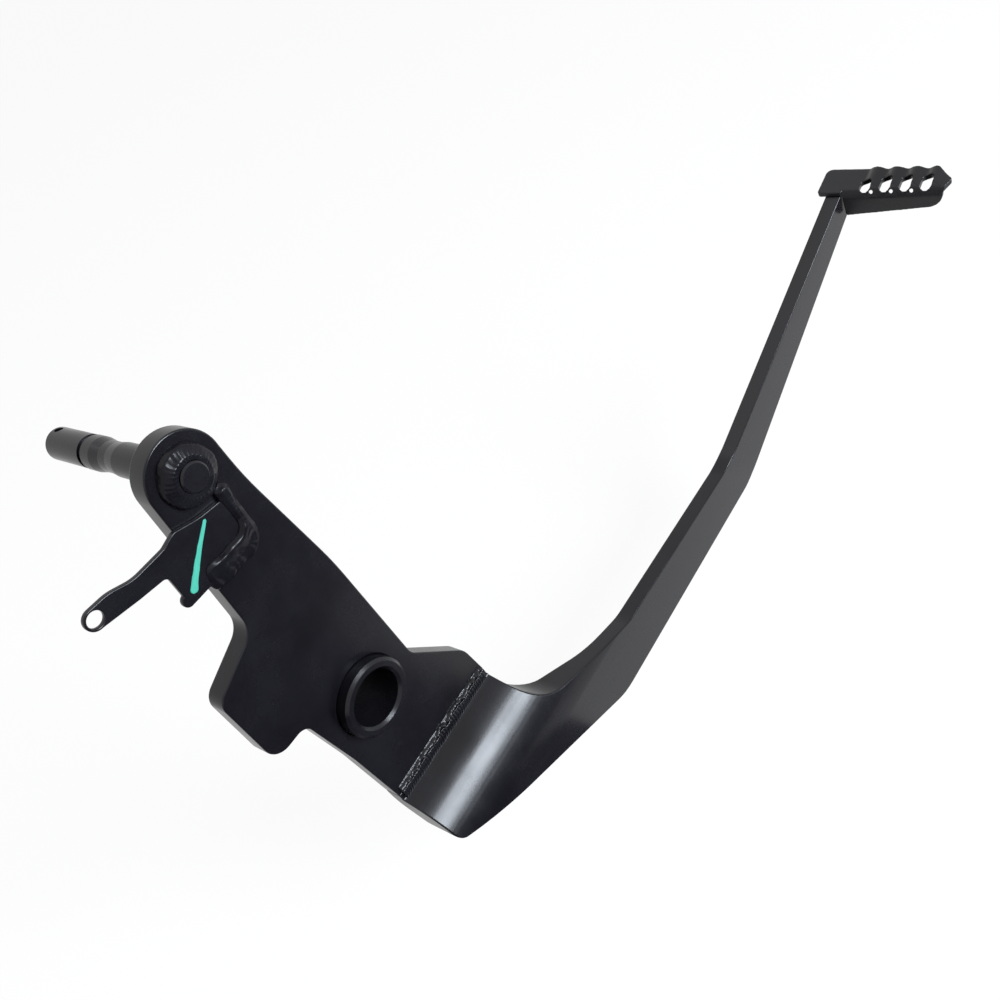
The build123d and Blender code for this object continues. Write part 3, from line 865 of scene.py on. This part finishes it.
class PEDAL_OT_ring_beads(bpy.types.Operator):
    """Weld round the pin and the bush"""

    bl_idname = "pedal.ring_beads"
    bl_label = "Ring Beads"
    bl_options = {"REGISTER", "UNDO"}

    def execute(self, context):
        bead = context.scene.pedal_bead
        weld = weld_coat("bead_coat", shine=0.5)
        bush_r = (bush_high.x - bush_low.x) / 2
        bush_ring_r = (bush_ring_high.x - bush_ring_low.x) / 2
        pin_r = (pin_high.x - pin_low.x) / 2
        ring_r = (ring_high.x - ring_low.x) / 2
        back_r = (back_ring_high.x - back_ring_low.x) / 2
        # The outer bead runs round the pin's stub, which is thinner than the pin
        stub_r = pin_r * 0.8
        for node, place, inner, outer, strength in (
            ("pin_weld", (PIN_X, PIN_Z), stub_r, ring_r, 0.5),
            ("pin_back_weld", (PIN_X, PIN_Z), pin_r, back_r, 0.8),
            ("bush_weld", (0, 0), bush_r, bush_ring_r, 1.0),
        ):
            piece = even_skin(copied_shape(node), node + "_bead", bead.skin, passes=6)
            run = ring_run(*place, inner, outer, bead.ripple)
            ripple_skin(piece, run, strength, lumps=1.6)
            finish_piece(piece, weld, "weld_coat", node)
        return {"FINISHED"}


class PEDAL_OT_fillet_beads(bpy.types.Operator):
    """Weld the bracket and the tread in their corners"""

    bl_idname = "pedal.fillet_beads"
    bl_label = "Corner Beads"
    bl_options = {"REGISTER", "UNDO"}

    def execute(self, context):
        bead = context.scene.pedal_bead
        weld = weld_coat("bead_coat", shine=0.5)
        lap = 0.5 * MM
        reach = (corner_high.x - strip_high.x) / 2 + lap
        corner_x = corner_high.x - 2 * reach
        corner_z = corner_low.z + 2 * reach
        coarse = bead.ripple * 1.7
        piece = even_skin(copied_shape("bracket_weld"), "bracket_weld_bead", bead.skin, passes=8)
        run = corner_run(corner_x, corner_z, reach, coarse)
        ripple_skin(piece, run, strength=0.8, lumps=3.0)
        finish_piece(piece, weld, "weld_coat", "bracket_weld")
        # The tip beads are narrow, so their skin is finer and their ripples run straight across
        fine = bead.skin * 0.8
        run = straight_run(Vector((1, 0, 0)), IN, middle=0.0, half=1.0, pitch=bead.ripple)
        for node in ("tip_outer_weld", "tip_inner_weld"):
            piece = even_skin(copied_shape(node), node + "_bead", fine, passes=3)
            ripple_skin(piece, run, strength=0.6)
            finish_piece(piece, weld, "weld_coat", node)
        return {"FINISHED"}


class PEDAL_OT_paint_mark(bpy.types.Operator):
    """Brush a dab of inspection paint on the bracket"""

    bl_idname = "pedal.paint_mark"
    bl_label = "Paint Mark"
    bl_options = {"REGISTER", "UNDO"}

    def execute(self, context):
        mark = context.scene.pedal_mark
        tip, bend, blob = (Vector(point) for point in (mark.tip, mark.bend, mark.blob))
        shape = bmesh.new()
        rows, columns = 60, 10
        bmesh.ops.create_grid(shape, x_segments=rows, y_segments=columns, size=0.5, calc_uvs=True)
        uv = shape.loops.layers.uv.verify()
        for face in shape.faces:
            for loop in face.loops:
                loop[uv].uv = (loop.vert.co.x + 0.5, loop.vert.co.y + 0.5)
        # How the stroke widens and wavers, and how much of the film is left at its sides and ends
        taper = 1.5
        waver = 0.16
        wavers = 9
        shear = 0.4
        side_film = 0.35
        end_film = 0.4
        length = (blob - tip).length
        for vert in shape.verts:
            share, across = vert.co.x + 0.5, vert.co.y * 2
            wide = mark.thin + (mark.thick - mark.thin) * share ** taper
            wide *= 1 + waver * noise.noise(Vector((share * wavers, across * shear, 2)))
            end = min(share, 1 - share) * length / (wide / 2)
            round_end = math.sqrt(max(0.0, 1 - (1 - min(1.0, end)) ** 2))
            middle = tip.lerp(bend, share).lerp(bend.lerp(blob, share), share)
            way = (bend - tip).lerp(blob - bend, share).normalized()
            place = middle + Vector((-way.y, way.x)) * across * wide / 2 * round_end
            side = side_film + (1 - side_film) * (1 - across ** 4)
            lift = mark.film * side * (end_film + (1 - end_film) * round_end)
            vert.co = (place.x, STRIP_FACE - lift, place.y)
        bmesh.ops.recalc_face_normals(shape, faces=shape.faces)
        if sum(face.normal.y * face.calc_area() for face in shape.faces) > 0:
            bmesh.ops.reverse_faces(shape, faces=shape.faces)
        body = mark.film * 1.5
        bmesh.ops.solidify(shape, geom=shape.faces[:], thickness=body)
        bmesh.ops.remove_doubles(shape, verts=shape.verts, dist=SAME_POINT / 2)
        bmesh.ops.recalc_face_normals(shape, faces=shape.faces)
        finish_piece(piece_from(shape, "paint_mark"), paint_material("mark_paint"), "mark_paint")
        return {"FINISHED"}


class PEDAL_OT_stage(bpy.types.Operator):
    """Set the floor, the dark cards, the lamps and the camera"""

    bl_idname = "pedal.stage"
    bl_label = "Stage"
    bl_options = {"REGISTER", "UNDO"}

    def execute(self, context):
        stage = context.scene.pedal_stage
        right = Vector(stage.right).normalized()
        up = Vector(stage.up).normalized()
        turn = Matrix((right, up, right.cross(up))).transposed().to_4x4()
        lens = bpy.data.cameras.new("camera")
        lens.lens = stage.lens
        lens.sensor_width = 36.0
        lens.clip_start = 0.01
        camera = bpy.data.objects.new("camera", lens)
        camera.matrix_world = Matrix.Translation(stage.eye) @ turn
        context.scene.collection.objects.link(camera)
        context.scene.camera = camera
        context.scene.view_settings.view_transform = "Standard"
        lay_floor(stage)
        lay_cards(stage)
        light_world(stage)
        softbox("key", stage.key_way, stage.key_distance, stage.key_size, stage.key_power, stage.key_tint)
        softbox("top", stage.top_way, stage.top_distance, stage.top_size, stage.top_power)
        return {"FINISHED"}


def seen_rays(tree, share):
    """Value that is a share for camera, glossy and transmission rays and zero for the rest."""
    path = place_node(tree, "LightPath")
    both = place_node(tree, "Math", "Camera or Glossy", operation="MAXIMUM")
    seen = place_node(tree, "Math", "Or Transmission", operation="MAXIMUM")
    part = place_node(tree, "Math", "Share", operation="MULTIPLY")
    tree.links.new(path.outputs["Is Camera Ray"], both.inputs[0])
    tree.links.new(path.outputs["Is Glossy Ray"], both.inputs[1])
    tree.links.new(both.outputs["Value"], seen.inputs[0])
    tree.links.new(path.outputs["Is Transmission Ray"], seen.inputs[1])
    tree.links.new(seen.outputs["Value"], part.inputs[0])
    part.inputs[1].default_value = share
    return part.outputs["Value"]


def lay_floor(stage):
    """Wide pale floor below the pedal."""
    shape = bmesh.new()
    bmesh.ops.create_circle(shape, cap_ends=True, segments=96, radius=stage.floor_radius)
    bmesh.ops.translate(shape, verts=shape.verts, vec=(0, 0, cad_box[0][2] - stage.floor_drop))
    floor = piece_from(shape, "floor")
    material, tree, shader = new_material("floor")
    tree.nodes.remove(shader)
    matt = place_node(tree, "BsdfDiffuse", Color=(*stage.floor_colour, 1))
    glow = place_node(tree, "Emission", Color=(1, 1, 1, 1))
    mix = place_node(tree, "MixShader")
    tree.links.new(seen_rays(tree, stage.floor_white), mix.inputs["Fac"])
    tree.links.new(matt.outputs["BSDF"], mix.inputs[1])
    tree.links.new(glow.outputs["Emission"], mix.inputs[2])
    tree.links.new(mix.outputs["Shader"], tree.nodes["Material Output"].inputs["Surface"])
    floor.data.materials.append(material)


def lay_cards(stage):
    """Two dark cards, one over the other between pedal and floor, and one upright at their outer end."""
    low = cad_box[0][2] - stage.floor_drop / 2
    gap = 1 * MM
    low_width = 0.9
    side_height = 0.42
    low_place = (stage.card_front - low_width / 2, -0.53, low)
    front_place = (-0.08, -0.57, low + gap)
    side_place = (0.1, -1.0, low + side_height / 2)
    dark_card("low_card", stage, width=low_width, height=1.1, turn=0, place=low_place)
    dark_card("front_card", stage, width=0.64, height=0.86, turn=0, place=front_place)
    dark_card("side_card", stage, width=1.5, height=side_height, turn=math.radians(90), place=side_place)


def dark_card(name, stage, width, height, turn, place):
    """Card that only the coat's gloss sees, so that the faces turned to it stay dark."""
    shape = bmesh.new()
    bmesh.ops.create_grid(shape, x_segments=1, y_segments=1, size=0.5)
    bmesh.ops.scale(shape, verts=shape.verts, vec=(width, height, 1))
    bmesh.ops.rotate(shape, verts=shape.verts, cent=(0, 0, 0), matrix=Matrix.Rotation(turn, 3, "X"))
    bmesh.ops.translate(shape, verts=shape.verts, vec=place)
    card = piece_from(shape, name)
    material, tree, shader = new_material(name)
    tree.nodes.remove(shader)
    glow = place_node(tree, "Emission", Color=(*stage.card_glow, 1))
    tree.links.new(glow.outputs["Emission"], tree.nodes["Material Output"].inputs["Surface"])
    card.data.materials.append(material)
    card.visible_camera = False
    card.visible_diffuse = False
    card.visible_shadow = False
    card.visible_transmission = False


def light_world(stage):
    """Even light all round, seen as white."""
    world = bpy.data.worlds.new("world")
    bpy.context.scene.world = world
    world.use_nodes = True
    tree = world.node_tree
    soft = tree.nodes["Background"]
    soft.inputs["Color"].default_value = (1, 1, 1, 1)
    soft.inputs["Strength"].default_value = stage.sky
    white = place_node(tree, "Background", Color=(1, 1, 1, 1))
    mix = place_node(tree, "MixShader")
    tree.links.new(seen_rays(tree, 1.0), mix.inputs["Fac"])
    tree.links.new(soft.outputs["Background"], mix.inputs[1])
    tree.links.new(white.outputs["Background"], mix.inputs[2])
    tree.links.new(mix.outputs["Shader"], tree.nodes["World Output"].inputs["Surface"])


def softbox(name, way, distance, size, power, tint=(1.0, 1.0, 1.0)):
    """Square soft lamp in a direction from the pedal's middle, facing it."""
    lamp = bpy.data.lights.new(name, "AREA")
    lamp.shape = "SQUARE"
    lamp.size = size
    lamp.energy = power
    lamp.color = tint
    holder = bpy.data.objects.new(name, lamp)
    way = Vector(way).normalized()
    turn = way.to_track_quat("Z", "Y").to_matrix().to_4x4()
    holder.matrix_world = Matrix.Translation(MIDDLE + way * distance) @ turn
    bpy.context.scene.collection.objects.link(holder)


class PEDAL_PT_panel(bpy.types.Panel):
    """Buttons of the pedal's makers"""

    bl_idname = "PEDAL_PT_panel"
    bl_label = "Rear Brake Pedal"
    bl_space_type = "VIEW_3D"
    bl_region_type = "UI"
    bl_category = "Pedal"

    def draw(self, context):
        for maker in MAKERS:
            self.layout.operator(maker.bl_idname)


SETTINGS = {
    "pedal_coat": CoatSettings,
    "pedal_bend": BendSettings,
    "pedal_bead": BeadSettings,
    "pedal_mark": MarkSettings,
    "pedal_stage": StageSettings,
}
MAKERS = (
    PEDAL_OT_plates,
    PEDAL_OT_tread,
    PEDAL_OT_turned_parts,
    PEDAL_OT_seam_beads,
    PEDAL_OT_ring_beads,
    PEDAL_OT_fillet_beads,
    PEDAL_OT_paint_mark,
    PEDAL_OT_stage,
)


def register():
    """Registers the settings, the makers and the panel."""
    for group in SETTINGS.values():
        bpy.utils.register_class(group)
    for maker in MAKERS:
        bpy.utils.register_class(maker)
    bpy.utils.register_class(PEDAL_PT_panel)
    for name, group in SETTINGS.items():
        setattr(bpy.types.Scene, name, bpy.props.PointerProperty(type=group))


def unregister():
    """Takes out again what register put in."""
    for name in SETTINGS:
        delattr(bpy.types.Scene, name)
    bpy.utils.unregister_class(PEDAL_PT_panel)
    for maker in reversed(MAKERS):
        bpy.utils.unregister_class(maker)
    for group in reversed(SETTINGS.values()):
        bpy.utils.unregister_class(group)


def main():
    """Runs the makers in order."""
    register()
    bpy.ops.pedal.plates()
    bpy.ops.pedal.tread()
    bpy.ops.pedal.turned_parts()
    bpy.ops.pedal.seam_beads()
    bpy.ops.pedal.ring_beads()
    bpy.ops.pedal.fillet_beads()
    bpy.ops.pedal.paint_mark()
    bpy.ops.pedal.stage()


if __name__ == "__main__":
    main()
